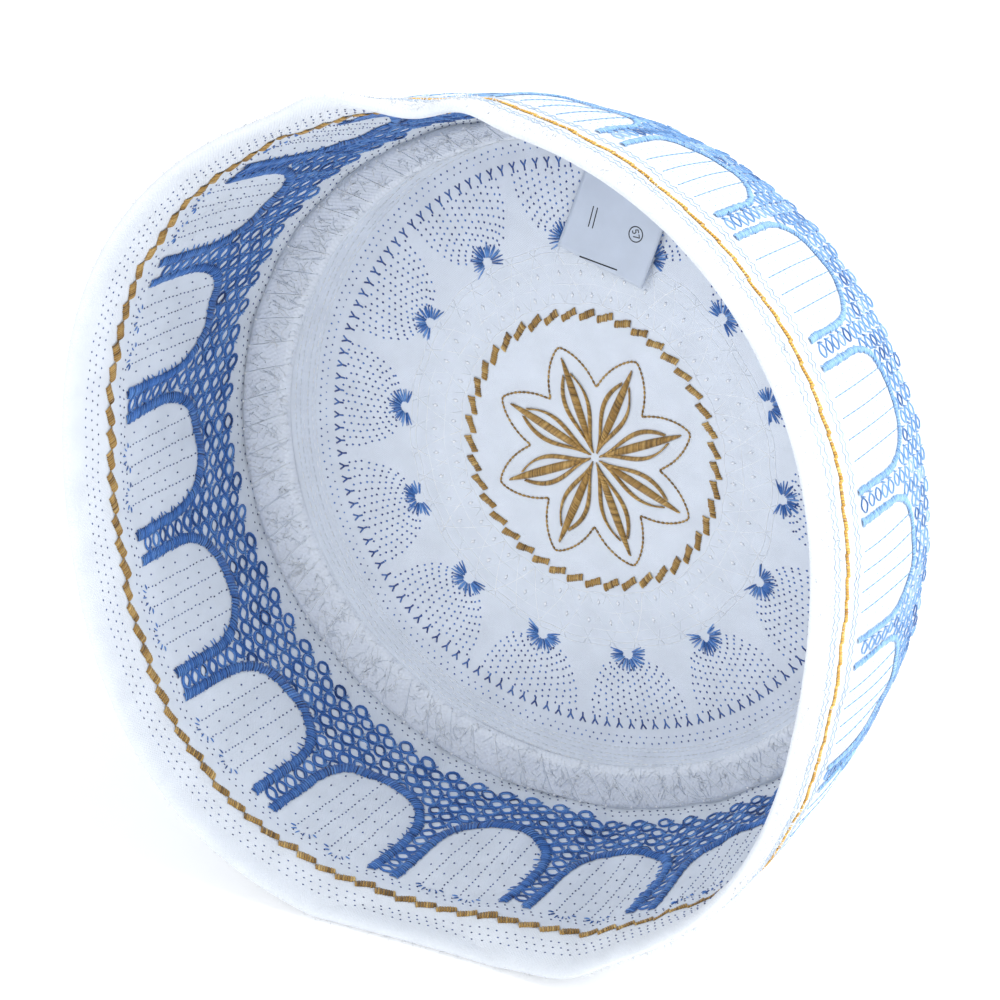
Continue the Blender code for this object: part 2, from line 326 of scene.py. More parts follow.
# ---- Seam tape --------------------------------------------------------------------------------------------------
# A fleecy white tape that covers the seam allowance between crown and band, laid on the crown and run down by
# slanting white stitches.
TAPE_THICK = 1.6


def tape_inner(angle):
    return 72.2 + 0.45 * lobes(SEAM_OUT, angle)


def tape_at(angle, share, lift=0.0):
    """On the tape's top: from its inner edge (share 0) to the wall (1), its thickness a half ellipse at its edges."""
    inner = tape_inner(angle)
    radius = inner + (crown_reach(angle) - 0.3 - inner) * share
    thick = TAPE_THICK * np.sqrt(np.clip(1 - (2 * np.clip(np.abs(share - 0.5) - 0.32, 0, 1) / 0.36) ** 2, 0, 1))
    z = crown_height(radius, angle) + CLOTH / 2 + 0.1 + thick + 0.12 * np.sin(31 * angle) * np.sin(np.pi * share) + lift
    return np.stack([radius * np.cos(angle), radius * np.sin(angle), z], -1)


shares = np.linspace(0, 1, 14)[:, None]
top = tape_at(around[None, :-1], shares)
under = np.stack([top[..., 0], top[..., 1], crown_height(np.hypot(top[..., 0], top[..., 1]), around[None, :-1]) + 1.05], -1)
way = np.concatenate([shares, shares[::-1], shares[:1]]) * 0.9
uv = np.stack(np.broadcast_arrays(around[None, :] * 7.8, way), -1)
tape = sheet_piece("seam_tape", np.concatenate([top, under[::-1]])[::-1], uv,
                   cloth_finish("white_fleece", (0.80, 0.84, 0.91), 9, 0.0003, 0.98, 0.6))
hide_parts("seam_band")

# ---- Size label -------------------------------------------------------------------------------------------------
# A strip of satin ribbon caught under the tape, with its free end on the crown. It carries only the head size in a
# ring and plain printed rules.
LABEL_WIDTH, LABEL_LENGTH, LABEL_START, LABEL_ASIDE, LABEL_THICK = 21.8, 26.4, 66.8, -10.6, 0.35
LABEL_WAY = np.radians(79.5)


def label_at(along, across, lift):
    """Over the crown, lifted onto the tape by a smooth step and off the crown by a cubic towards its free end."""
    outward, aside = LABEL_START - along, LABEL_ASIDE + across
    x = outward * np.cos(LABEL_WAY) + aside * np.sin(LABEL_WAY)
    y = outward * np.sin(LABEL_WAY) - aside * np.cos(LABEL_WAY)
    radius, angle = np.hypot(x, y), np.arctan2(y, x)
    on_tape = 1 / (1 + np.exp((tape_inner(angle) - 3 - radius) / 0.7))
    z = crown_height(radius, angle) + CLOTH / 2 + 0.55 + 2.0 * on_tape + 1.2 * (along / LABEL_LENGTH) ** 3 + lift
    return np.stack(np.broadcast_arrays(x, y, z), -1)


along = np.linspace(0, LABEL_LENGTH, 40)
edge = np.concatenate([np.linspace(-0.5, 0.5, 24), np.linspace(0.5, -0.5, 24)]) * LABEL_WIDTH
lift = np.repeat([LABEL_THICK, 0.0], 24)
grid = label_at(np.concatenate([along[:1], along, along[-1:]])[:, None], edge[None, :], lift[None, :])
grid[0], grid[-1] = grid[0].mean(0), grid[-1].mean(0)
uv = np.stack(np.broadcast_arrays(np.append(edge, edge[:1])[None, :] / 10, np.concatenate([along[:1], along, along[-1:]])[:, None] / 10), -1)
label = sheet_piece("size_label", grid, uv, cloth_finish("label_satin", (0.60, 0.66, 0.76), 30, 0.00005, 0.45, 0.1), closed_rows=False)
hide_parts("size_label")

# ---- Net between the arches ---------------------------------------------------------------------------------------
# Blue polyester thread worked into an open net of pointed cells, nine rows to an arch, from just above the seam up to
# the satin outlines of the windows. It is on both faces, paler and more open outside.
ROW, CELL = ARCH / 9, 3.3
WINDOW_HALF, WINDOW_TOP, WINDOW_SHOULDER, PILLAR_END, ROUNDNESS = 12.05, 17.2, 30.0, 43.8, 2.4


def threads(path, normal, half, high, shade, closed=False):
    """Ridges laid along paths (threads, points, 3): at each point stand three corners, left, top and right, so each
    thread is a three-sided prism with closed ends. Returns points, triangles and the shade of each point."""
    if closed:
        way = np.roll(path, -1, 1) - np.roll(path, 1, 1)
    else:
        way = np.gradient(path, axis=1)
    side = np.cross(normal, way)
    side /= np.maximum(np.linalg.norm(side, axis=-1, keepdims=True), 1e-9)
    half, high = np.broadcast_to(half, path.shape[:2])[..., None], np.broadcast_to(high, path.shape[:2])[..., None]
    points = np.stack([path + side * half, path + normal * high, path - side * half], 2)
    count, steps = path.shape[:2]
    number = np.arange(count * steps * 3).reshape(count, steps, 3)
    after = np.roll(number, -1, 1) if closed else number[:, 1:]
    before = number if closed else number[:, :-1]
    tri = []
    for i in range(3):
        a, b, c, d = before[..., i], before[..., (i + 1) % 3], after[..., (i + 1) % 3], after[..., i]
        tri += [np.stack([a, b, c], -1).reshape(-1, 3), np.stack([a, c, d], -1).reshape(-1, 3)]
    if not closed:
        tri += [number[:, 0][:, [0, 2, 1]], number[:, -1]]
    tone = np.broadcast_to(np.asarray(shade, float).reshape(count, -1, 1), (count, steps, 3))
    return points.reshape(-1, 3), np.concatenate(tri), tone.reshape(-1)


def dots(at, normal, way, half, long, high, shade):
    """Small stitches: each an eight-sided bead, long along its way."""
    way = way - normal * (way * normal).sum(-1, keepdims=True)
    way /= np.maximum(np.linalg.norm(way, axis=-1, keepdims=True), 1e-9)
    side = np.cross(normal, way)
    points = np.stack([at + way * long, at + side * half, at - way * long, at - side * half, at + normal * high,
                       at - normal * 0.2], 1)
    tri = np.array([(0, 1, 4), (1, 2, 4), (2, 3, 4), (3, 0, 4), (1, 0, 5), (2, 1, 5), (3, 2, 5), (0, 3, 5)])
    tri = (np.arange(len(at)) * 6)[:, None, None] + tri
    return points.reshape(-1, 3), tri.reshape(-1, 3), np.repeat(np.broadcast_to(shade, len(at)), 6)


def joined(*parts):
    """Several sets of points, triangles and shades as one."""
    start = np.cumsum([0] + [len(p[0]) for p in parts[:-1]])
    return (np.concatenate([p[0] for p in parts]), np.concatenate([p[1] + s for p, s in zip(parts, start)]),
            np.concatenate([p[2] for p in parts]))


def thread_finish(name, dark, middle, light, roughness=0.5, sheen=0.25):
    """Spun polyester thread: its tone goes from dark to light by the stitch's shade, a random tone with painted shade
    on satin, gold blocks and net rings, plus a little grain; the bump is the thread's fine twist."""
    finish = bpy.data.materials.new(name)
    finish.use_nodes = True
    tree = finish.node_tree
    shader = tree.nodes["Principled BSDF"]
    shader.inputs["Roughness"].default_value = roughness
    shader.inputs["Specular IOR Level"].default_value = 0.4
    shader.inputs["Sheen Weight"].default_value = sheen
    own = node(tree, "Attribute", {"attribute_name": "shade"})
    place_in = tree.nodes.new("ShaderNodeTexCoord")
    grain = node(tree, "TexNoise", Vector=place_in.outputs["Object"], Scale=2600.0, Detail=2.0)
    mixed = node(tree, "Math", {"operation": "MULTIPLY_ADD"}, _0=grain.outputs["Fac"], _1=0.5, _2=own.outputs["Fac"])
    less = node(tree, "Math", {"operation": "SUBTRACT"}, _0=mixed.outputs[0], _1=0.25)
    ramp = node(tree, "ValToRGB", Fac=less.outputs[0])
    ramp.color_ramp.elements[0].color, ramp.color_ramp.elements[1].color = (*dark, 1), (*light, 1)
    ramp.color_ramp.elements.new(0.5).color = (*middle, 1)
    bump = node(tree, "Bump", Height=grain.outputs["Fac"], Strength=0.4, Distance=0.0001)
    tree.links.new(ramp.outputs[0], shader.inputs["Base Color"])
    tree.links.new(bump.outputs[0], shader.inputs["Normal"])
    return finish


blue_thread = thread_finish("blue_thread", (0.006, 0.03, 0.14), (0.05, 0.19, 0.58), (0.20, 0.42, 0.82))
pale_thread = thread_finish("pale_blue_thread", (0.03, 0.12, 0.36), (0.20, 0.43, 0.80), (0.48, 0.68, 0.92))
navy_thread = thread_finish("navy_thread", (0.006, 0.015, 0.08), (0.02, 0.05, 0.20), (0.06, 0.12, 0.35))


def window_reach(across, height, wider=0.0):
    """1 on a window's edge, less inside: a superellipse above the shoulder and straight sides below it."""
    up = np.maximum(WINDOW_SHOULDER - height, 0) / (WINDOW_SHOULDER - WINDOW_TOP + wider)
    return ((np.abs(across) / (WINDOW_HALF + wider)) ** ROUNDNESS + up**ROUNDNESS) ** (1 / ROUNDNESS)


def clear_of_windows(along, height, wider):
    """Points inside a window, in mm round the band, pushed out from its shoulder's middle to its edge."""
    across = (along / ARCH % 1 - 0.5) * ARCH
    reach = window_reach(across, height, wider)
    push = np.where(reach < 1, 1 / np.maximum(reach, 0.2), 1)
    moved = across * (push - 1)
    up = np.where(height < WINDOW_SHOULDER, WINDOW_SHOULDER - (WINDOW_SHOULDER - height) * push, height)
    return along + moved, up


row, rank = np.meshgrid(np.arange(ARCHES * 9), np.arange(13), indexing="ij")
cell_along, cell_height = row.ravel() * ROW, 5.6 + (rank.ravel() + 0.5 * (row.ravel() % 2)) * CELL
cell_across = (cell_along / ARCH % 1 - 0.5) * ARCH
net = (window_reach(cell_across, cell_height, 1.1) > 1.02) & (cell_height < PILLAR_END - 1.2)
cell_along = cell_along[net] + rng.normal(0, 0.12, net.sum())
cell_height = cell_height[net] + rng.normal(0, 0.12, net.sum())


def cell_ring(size_along, size_height, roundness, count, turn=0.0):
    """Superelliptic rings round the cells, leaning over a little, each cell a little different."""
    angle = np.linspace(0, 2 * np.pi, count, endpoint=False) + turn
    size = rng.uniform(0.92, 1.08, (len(cell_along), 1))
    c, s = np.cos(angle), np.sin(angle)
    p = np.sign(c) * np.abs(c) ** (2 / roundness) * size_along * size
    q = np.sign(s) * np.abs(s) ** (2 / roundness) * size_height * size
    return clear_of_windows(cell_along[:, None] + p, cell_height[:, None] + q + 0.18 * p, 1.1)


def net_parts(side, hole, strong):
    """A dark ground round each cell's hole, two threads that follow it, and a star of crossing threads beyond it."""
    parts = []
    if strong:
        inner, outer = cell_ring(hole[0], hole[1], 1.4, 12), cell_ring(2.0, 1.72, 1.9, 12)
        rings = [band_at(a / ARCH, h, side, up)[0] for (a, h), up in ((inner, 0.0), (inner, 0.14), (outer, 0.14))]
        points = np.stack(rings, 1)
        number = np.arange(len(cell_along) * 36).reshape(-1, 3, 12)
        wide = np.pad(number, ((0, 0), (0, 0), (0, 1)), mode="wrap")
        a, b, c, d = wide[:, :-1, :-1], wide[:, :-1, 1:], wide[:, 1:, 1:], wide[:, 1:, :-1]
        order = (a, c, b), (a, d, c)
        if side > 0:
            order = (a, b, c), (a, c, d)
        tri = np.concatenate([np.stack(o, -1).reshape(-1, 3) for o in order])
        shade = np.broadcast_to(rng.uniform(0.2, 0.5, (len(cell_along), 1)), (len(cell_along), 36))
        parts.append((points.reshape(-1, 3), tri, shade.reshape(-1)))
    for wider, thick in ((0.08, 0.16), (0.4, 0.16)) if strong else ((0.1, 0.11),):
        a, h = cell_ring(hole[0] + wider, hole[1] + wider, 1.45, 10)
        path, normal = band_at(a / ARCH, h, side, 0.1)
        # Each ring thread is painted darker above and below its hole, at the necks between cells: painted shade.
        tone = np.clip(rng.normal(0.62, 0.2, (len(a), 1)) - 0.2 * np.abs(np.sin(np.linspace(0, 2 * np.pi, 10, endpoint=False))), 0, 1)
        parts.append(threads(path, normal, thick, 0.3, tone, closed=True))
    for turn in (0.35, 1.3, 2.2) if strong else (1.3,):
        reach = np.array([-1, 0, 1]) * 1.0
        a = cell_along[:, None] + ROW / 2 + reach * np.cos(turn) + rng.normal(0, 0.12, (len(cell_along), 3))
        h = cell_height[:, None] + reach * np.sin(turn)
        keep = window_reach((a / ARCH % 1 - 0.5) * ARCH, h, 1.5).min(1) > 1
        path, normal = band_at(a[keep] / ARCH, h[keep], side, 0.15)
        parts.append(threads(path, normal, 0.16, 0.32, rng.uniform(0.35, 1, (keep.sum(), 1)) * (1 if strong else 0.6)))
    return joined(*parts)


made = net_parts(-1, (1.42, 1.05), True)
add_piece("net_inside", made[0], made[1], blue_thread, shade=made[2])
made = net_parts(1, (1.45, 1.2), False)
add_piece("net_outside", made[0], made[1], pale_thread, shade=made[2])

# ---- Satin outlines of the windows --------------------------------------------------------------------------------
# Each window is edged with close satin stitches laid across its outline, pillar end to pillar end, over a flatter
# layer.


def outline(extra, count):
    """Points along a window's outline at equal steps, and the way outward, flat in mm from the arch's middle."""
    t = np.linspace(-1, 1, 401)
    bend = np.pi / 2 * np.clip(np.abs(t) / 0.62, 0, 1)
    x = np.sign(t) * WINDOW_HALF * np.sin(bend) ** (2 / ROUNDNESS)
    y = WINDOW_SHOULDER - (WINDOW_SHOULDER - WINDOW_TOP) * np.maximum(np.cos(bend), 0) ** (2 / ROUNDNESS)
    y = np.where(np.abs(t) > 0.62, WINDOW_SHOULDER + (np.abs(t) - 0.62) / 0.38 * (PILLAR_END - WINDOW_SHOULDER + extra), y)
    length = np.append(0, np.cumsum(np.hypot(np.diff(x), np.diff(y))))
    at = np.linspace(0, length[-1], count)
    x, y = np.interp(at, length, x), np.interp(at, length, y)
    way = np.stack([np.gradient(x), np.gradient(y)], -1)
    way /= np.linalg.norm(way, axis=-1, keepdims=True)
    return x, y, way


def satin(side, width, count, inner, slant, half, high):
    """Threads from the window's edge outward by the satin's width, slanted, raised in the middle, with ragged ends."""
    x, y, way = outline(0, count)
    n = ARCHES * count
    centre = np.repeat((np.arange(ARCHES) + 0.5) * ARCH, count)
    x, y, way = np.tile(x, ARCHES), np.tile(y, ARCHES), np.tile(way, (ARCHES, 1))
    share = np.linspace(0, 1, 5)
    start = inner + rng.normal(0, 0.14, n)
    reach = start[:, None] + (width + rng.normal(0, 0.14, n) - start)[:, None] * share
    run = slant * (share - 0.5)
    a = centre[:, None] + x[:, None] + way[:, 1:] * reach + way[:, :1] * run
    h = y[:, None] - way[:, :1] * reach + way[:, 1:] * run
    path, normal = band_at(a / ARCH, h, side, 0.08)
    lift = (0.12 + 0.34 * np.sin(np.pi * share))[None, :]
    # Every other thread is painted darker, and each thread darker towards its ends: painted shade in the gaps between
    # threads and where they sink into the cloth.
    tone = np.clip(np.tile([0.7, 0.35], n // 2 + 1)[:n, None] + rng.normal(0, 0.14, (n, 1)) - 0.25 * np.abs(share - 0.5), 0, 1)
    return threads(path + normal * (lift * high)[..., None], normal, half, 0.16, tone)


made = joined(satin(-1, 2.25, 200, -0.1, 0.7, 0.19, 1.0), satin(-1, 1.9, 100, 0.1, -0.5, 0.3, 0.3))
add_piece("satin_inside", made[0], made[1], blue_thread, shade=made[2])
made = satin(1, 1.5, 220, 0.0, 0.2, 0.17, 0.8)
add_piece("satin_outside", made[0], made[1], thread_finish("pale_satin", (0.12, 0.28, 0.60), (0.30, 0.55, 0.87), (0.5, 0.72, 0.95)),
          shade=made[2])

# ---- Running stitches of the band ---------------------------------------------------------------------------------
# Bobbin stitches show as small navy dots inside: four close lines down each window, scattered ones between them,
# rows along the gold line and the seam, and short whiskers where a line turns back. Outside they are thin lines.


def band_dots(along, height, run_along, half=0.26, long=0.36, high=0.28, side=-1, tone=(0.1, 0.9)):
    """Stitches on the band at these places, lying round the cap or up it."""
    along, height = np.ravel(along), np.ravel(height)
    at, normal = band_at(along / ARCH, height, side)
    beside = band_at((along + 0.3 * run_along) / ARCH, height + 0.3 * (1 - run_along), side)[0]
    return dots(at, normal, beside - at, half, long, high, rng.uniform(*tone, len(at)))


middles = (np.arange(ARCHES) + 0.5) * ARCH
parts, wall_lines = [], []
for line in (-6.6, -2.2, 2.2, 6.6):
    top = WINDOW_SHOULDER - (WINDOW_SHOULDER - WINDOW_TOP) * (1 - (abs(line) / WINDOW_HALF) ** ROUNDNESS) ** (1 / ROUNDNESS)
    height = np.arange(top + 0.6, 43.4, 1.3)
    a = middles[:, None] + line + rng.normal(0, 0.1, (ARCHES, len(height)))
    parts.append(band_dots(a, height + rng.normal(0, 0.12, a.shape), 0))
    wall_lines.append((line, top))
for line, shift in ((-9.0, 0), (-4.4, 2.2), (0, 0), (4.4, 2.2), (9.0, 0)):
    height = np.arange(22.5 + shift, 43, 4.5)
    a = middles[:, None] + line + rng.normal(0, 0.15, (ARCHES, len(height)))
    parts.append(band_dots(a, height + rng.normal(0, 0.2, a.shape), 0))
for height, pitch, shift in ((WALL_HEIGHT + 3.6, 2.1, 0), (WALL_HEIGHT + 5.2, 2.1, 1), (WALL_HEIGHT + 6.8, 2.1, 0), (46.8, 2.1, 0),
                             (45.2, 2.1, 1), (2.3, 2.1, 0), (1.1, 2.1, 1)):
    along = np.arange(0, ARCHES * ARCH - 1, pitch) + shift
    parts.append(band_dots(along + rng.normal(0, 0.12, len(along)), height + rng.normal(0, 0.1, len(along)), 1, 0.2, 0.32))
made = joined(*parts)
add_piece("dots_inside", made[0], made[1], navy_thread, shade=made[2])


def whiskers(side):
    """Short stitches on half ellipses that join lines in pairs next to the gold line, and a fringe of small ticks
    on each window's far edge."""
    turn = np.radians(np.linspace(15, 165, 6))
    a = middles[:, None, None] + np.array([-4.4, 4.4])[None, :, None] + 2.3 * np.cos(turn)
    h = 43.2 + 1.5 * np.sin(turn) + 0 * a
    a, h, turn = a.ravel(), h.ravel(), np.broadcast_to(turn, a.shape).ravel()
    rise = np.array([0, 0.6, 1.2])
    pa, ph = a[:, None] + rise * np.cos(turn)[:, None], h[:, None] + rise * np.sin(turn)[:, None]
    tick_h = np.arange(22, 38, 1.7)
    up = np.maximum(WINDOW_SHOULDER - tick_h, 0) / (WINDOW_SHOULDER - WINDOW_TOP)
    edge = WINDOW_HALF * (1 - up**ROUNDNESS) ** (1 / ROUNDNESS)
    ta = (middles[:, None] + edge + rng.normal(0, 0.1, (ARCHES, len(tick_h)))).ravel()
    th = (tick_h + rng.normal(0, 0.3, (ARCHES, len(tick_h)))).ravel()
    lean = rng.normal(0.3, 0.4, len(ta))[:, None]
    pa = np.concatenate([pa, ta[:, None] - rise * rng.uniform(0.6, 1.3, (len(ta), 1))])
    ph = np.concatenate([ph, th[:, None] + rise * lean])
    path, normal = band_at(pa / ARCH, ph, side, 0.1)
    return threads(path, normal, [0.15, 0.19, 0.1], [0.2, 0.3, 0.12], rng.uniform(0.2, 0.8, (len(pa), 1)))


made = whiskers(-1)
add_piece("whiskers_inside", made[0], made[1], blue_thread, shade=made[2])

lines = []
for line, top in wall_lines:
    height = np.linspace(top + 0.3, 43.4, 26)
    path, normal = band_at((middles[:, None] + line) / ARCH, height[None, :], 1, 0.02)
    lines.append(threads(path, normal, 0.14, 0.2, 0.45 + 0.4 * np.sin(np.arange(26) * 2.4)[None, :].repeat(ARCHES, 0)))
for height in (22.5, 26.0, 29.5, 33.0, 36.5, 40.0):
    reach = WINDOW_HALF - (1.5 if height > 24 else 4.5)
    across = np.arange(-reach, reach, 1.7)
    lines.append(band_dots(middles[:, None] + across, height + 0 * middles[:, None] * across, 1, 0.1, 0.42, 0.14, 1, (0.75, 1)))
made = joined(*lines)
add_piece("window_lines_outside", made[0], made[1], pale_thread, shade=made[2])


def zigzag(height, swing, pitch, side):
    """A thread that waves to and fro along the gold line, once for each stitch."""
    steps = int(ARCHES * ARCH / pitch) // 2 * 2
    a = np.linspace(0, ARCHES, steps + 1)[:-1]
    h = height + swing * (np.arange(steps) % 2 * 2 - 1) + rng.normal(0, 0.08, steps)
    path, normal = band_at(a[None], h[None], side, 0.05)
    return threads(path, normal, 0.2, 0.2, 0.75 + 0.2 * np.sin(np.arange(steps) * 1.3)[None], closed=True)


made = joined(*[zigzag(height, 0.45, 1.05, 1) for height in (45.6, 47.1, WALL_HEIGHT + 3.6, WALL_HEIGHT + 5.2)])
add_piece("wavy_lines_outside", made[0], made[1], thread_finish("faint_blue_thread", (0.35, 0.52, 0.80), (0.55, 0.70, 0.90), (0.72, 0.82, 0.95)),
          shade=made[2])

# ---- Gold line --------------------------------------------------------------------------------------------------
# Gold thread in slanting satin blocks, one after the other round the rim, on both faces; it holds the hem down.
GOLD = ((0.16, 0.08, 0.012), (0.45, 0.25, 0.05), (0.74, 0.50, 0.17))


def blocks(centre, way, length, width, lean, count, surface, high=0.3):
    """Satin blocks: parallel threads beside each other, seven or eight to a block, each block turned by its lean."""
    c, s = np.cos(lean), np.sin(lean)
    way = np.stack([way[:, 0] * c - way[:, 1] * s, way[:, 0] * s + way[:, 1] * c], -1)
    side = np.stack([-way[:, 1], way[:, 0]], -1)
    step = (np.arange(count) / (count - 1) - 0.5) * length
    share = np.linspace(-0.5, 0.5, 5)
    wide = width * rng.uniform(0.88, 1.08, (len(centre), count))
    slip = share * 0.5
    at = (centre[:, None, None] + way[:, None, None] * (step[None, :, None] + slip[None, None, :])[..., None]
          + side[:, None, None] * (wide[:, :, None] * share)[..., None])
    flat = at.reshape(-1, 5, 2)
    path, normal = surface(flat)
    lift = 0.08 + high * np.cos(share * np.pi)
    # Each thread is painted darker towards the block's edges: painted shade where the threads sink into the cloth.
    tone = np.clip(rng.normal(0.55, 0.2, (len(flat), 1)) - 0.3 * np.abs(share), 0, 1)
    return threads(path + normal * lift[None, :, None], normal, 0.62 * length / count, 0.16, tone)


def on_band(side):
    return lambda flat: band_at(flat[..., 0] / ARCH, flat[..., 1], side)


block_at = np.arange(117) * ARCHES * ARCH / 117
centre = np.stack([block_at, WALL_HEIGHT + 0 * block_at], -1)
straight = np.tile([1.0, 0.0], (117, 1))
made = blocks(centre, straight, 3.7, 1.7, -0.33, 8, on_band(-1))
add_piece("gold_line_inside", made[0], made[1], thread_finish("gold_thread", *GOLD, roughness=0.4), shade=made[2])
made = blocks(centre, straight, 4.6, 1.25, 0.14, 8, on_band(1))
add_piece("gold_line_outside", made[0], made[1], thread_finish("bright_gold_thread", (0.45, 0.22, 0.02), (0.80, 0.45, 0.06), (0.95, 0.68, 0.22), 0.4),
          shade=made[2])

# ---- Gold flower and ring ---------------------------------------------------------------------------------------
# In the middle of the crown: a flower of eight petals, each a stitched outline with three satin veins, inside a ring
# of slanting gold blocks.
FLOWER = np.array([0.7, -1.25])


def on_crown(side):
    return lambda flat: crown_at(flat[..., 0], flat[..., 1], side)


def polar(radius, degrees, centre=(0.0, 0.0)):
    a = np.radians(degrees)
    return np.stack([centre[0] + radius * np.cos(a), centre[1] + radius * np.sin(a)], -1)


def gold_work(side):
    """Ring blocks, then each petal's veins as short threads across a line that swells and closes, then its outline
    of short stitches, whose radius goes from valley to tip as a power of a cosine."""
    turn = np.arange(43) * 360 / 43
    way = np.stack([-np.sin(np.radians(turn)), np.cos(np.radians(turn))], -1)
    parts = [blocks(polar(30.2, turn), way, 3.5, 1.7, 0.38, 8, on_crown(side))]
    for offset, first, last, wide in ((0, 1.5, 22.5, 1.9), (14, 2.5, 19, 0.9), (-14, 2.5, 19, 0.9)):
        r = np.arange(first, last, 0.33)
        share = (r - first) / (last - first)
        swell = wide * np.sin(np.pi * np.clip(share, 0.02, 0.98)) ** 0.6
        lean = offset * np.sin(np.pi * share * 0.85 + 0.3)
        for tip in 118.5 - 45 * np.arange(8):
            across = np.linspace(-0.5, 0.5, 4)
            a = np.radians(tip + lean)[:, None]
            reach, shift = r[:, None] + across * 0.8, swell[:, None] * across
            flat = np.stack([FLOWER[0] + reach * np.cos(a) - shift * np.sin(a), FLOWER[1] + reach * np.sin(a) + shift * np.cos(a)], -1)
            path, normal = crown_at(flat[..., 0], flat[..., 1], side)
            lift = (0.1 + 0.35 * np.cos(across * np.pi))[None, :, None]
            parts.append(threads(path + normal * lift, normal, 0.18, 0.15, np.clip(rng.normal(0.5, 0.2, (len(r), 1)), 0, 1)))
    turn = np.linspace(0, 360, 193)[:-1]
    petal = np.abs(((turn - 118.5 + 22.5) % 45 - 22.5) / 22.5)
    r = 15.7 + 9.3 * np.clip(1 - petal**1.25, 0, 1)
    flat = polar(r, turn, FLOWER)
    after = np.roll(flat, -1, 0)
    steps = np.linspace(0, 0.86, 3)[None, :, None]
    path, normal = on_crown(side)(flat[:, None] + (after - flat)[:, None] * steps)
    parts.append(threads(path + normal * 0.08, normal, [0.16, 0.3, 0.16], 0.3, rng.uniform(0.1, 0.7, (len(flat), 1))))
    return joined(*parts)


made = gold_work(1)
add_piece("gold_flower_inside", made[0], made[1], bpy.data.materials["gold_thread"], shade=made[2])
made = gold_work(-1)
add_piece("gold_flower_outside", made[0], made[1], bpy.data.materials["bright_gold_thread"], shade=made[2])

# ---- Fans and rows of the crown ---------------------------------------------------------------------------------
# Fourteen fans of blue stitches open outward from a curl of satin, inside a ring of forked marks and two rows of
# small stitches.
FANS = 131.9 + 360 / 14 * np.arange(14)


def crown_dots(flat, half=0.3, long=0.36, high=0.26, side=1, tone=(0.2, 1.0)):
    """Stitches on the crown that point away from its middle."""
    at, normal = crown_at(flat[:, 0], flat[:, 1], side)
    way = np.concatenate([flat / np.linalg.norm(flat, axis=1, keepdims=True), np.zeros((len(flat), 1))], 1)
    return dots(at, normal, way, half, long, high, rng.uniform(*tone, len(flat)))


def fans(side):
    line, rank = np.meshgrid(np.arange(-7, 8), np.arange(9), indexing="ij")
    r = 48.5 + 1.6 * rank + 0.8 * (line % 2)
    across = np.interp(r, (46, 47.7, 49.8, 52.9, 56.8, 61.5), (3.4, 5, 7.1, 9.2, 11, 11.8)) * line / 7
    fan = [polar(np.hypot(r, across).ravel(), at + np.degrees(np.arctan2(across, r)).ravel()) for at in FANS]
    flat = np.concatenate(fan)
    flat = flat[np.linalg.norm(flat, axis=1) < 62.3]
    rows = [polar(66.3 + 1.45 * i, np.arange(225) * 1.6 + 0.8 * i) for i in (0, 1)]
    parts = [crown_dots(flat + rng.normal(0, 0.1, flat.shape), side=side)]
    parts += [crown_dots(p + rng.normal(0, 0.08, p.shape), 0.26, 0.3, side=side) for p in rows]
    fork = np.arange(136) * 2.65
    for turn, first, last in ((0.55, 63.0, 64.2), (-0.55, 63.0, 64.2), (0.0, 61.9, 63.0)):
        reach = np.linspace(first, last, 3)
        bend = np.degrees(turn * (reach - 63.0) * (first > 62) / 63)
        flat = polar(reach[None, :], fork[:, None] + bend[None, :] * 1.0)
        path, normal = on_crown(side)(flat)
        parts.append(threads(path, normal, 0.22, 0.24, rng.uniform(0.3, 0.9, (136, 1))))
    return joined(*parts)


made = fans(1)
add_piece("fan_dots_inside", made[0], made[1], thread_finish("crown_blue_thread", (0.01, 0.02, 0.12), (0.03, 0.08, 0.32), (0.10, 0.24, 0.60)),
          shade=made[2])
made = fans(-1)
add_piece("fan_dots_outside", made[0], made[1], pale_thread, shade=made[2])


def curls(side):
    """A C of short satin whiskers round each fan's foot, open to the crown's middle."""
    turn = np.linspace(-115, 115, 27) + rng.normal(0, 3, (14, 27))
    reach = np.array([1.3, 2.7, 4.2]) * rng.uniform(0.8, 1.1, (14, 27, 1))
    foot = polar(46.4, FANS)[:, None, None]
    flat = foot + polar(reach, (FANS[:, None] + turn)[:, :, None])
    path, normal = on_crown(side)(flat.reshape(-1, 3, 2))
    return threads(path, normal, [0.14, 0.22, 0.12], [0.25, 0.42, 0.2], rng.uniform(0.3, 1, (378, 1)))


for side, name in ((1, "fan_curls_inside"), (-1, "fan_curls_outside")):
    made = curls(side)
    add_piece(name, made[0], made[1], blue_thread, shade=made[2])

# ---- White eyelets, quilting and tape stitches --------------------------------------------------------------------
# White thread: two rows of bright eyelet stitches with a thin lattice between them, dashed quilting rings next to
# the tape, slanting stitches that hold the tape, and the tape's own loose fleece.
white_thread = thread_finish("white_thread", (0.62, 0.67, 0.76), (0.80, 0.85, 0.92), (0.97, 0.98, 1.0), 0.35, 0.1)
parts = []
for r, shift in ((39.2, 0.0), (34.5, 3.9)):
    parts.append(crown_dots(polar(r, -179.5 + shift + np.arange(46) * 7.826), 0.42, 0.75, 0.4, tone=(0.9, 1.1)))
for r in (32.6, 36.8, 41.2, 43.6, 45.0):
    a = np.linspace(0, 360, 361)[:-1]
    path, normal = on_crown(1)(polar(r + 0.25 * np.sin(np.radians(a * 23)), a)[None])
    parts.append(threads(path, normal, 0.1, 0.06, rng.uniform(0.5, 1, (1, 360)), closed=True))
for lean in (9, -9):
    a = np.arange(46)[:, None] * 7.826 + np.linspace(0, lean, 7)
    path, normal = on_crown(1)(polar(np.linspace(32.6, 45, 7)[None, :], a))
    parts.append(threads(path, normal, 0.09, 0.05, rng.uniform(0.5, 1, (46, 1))))
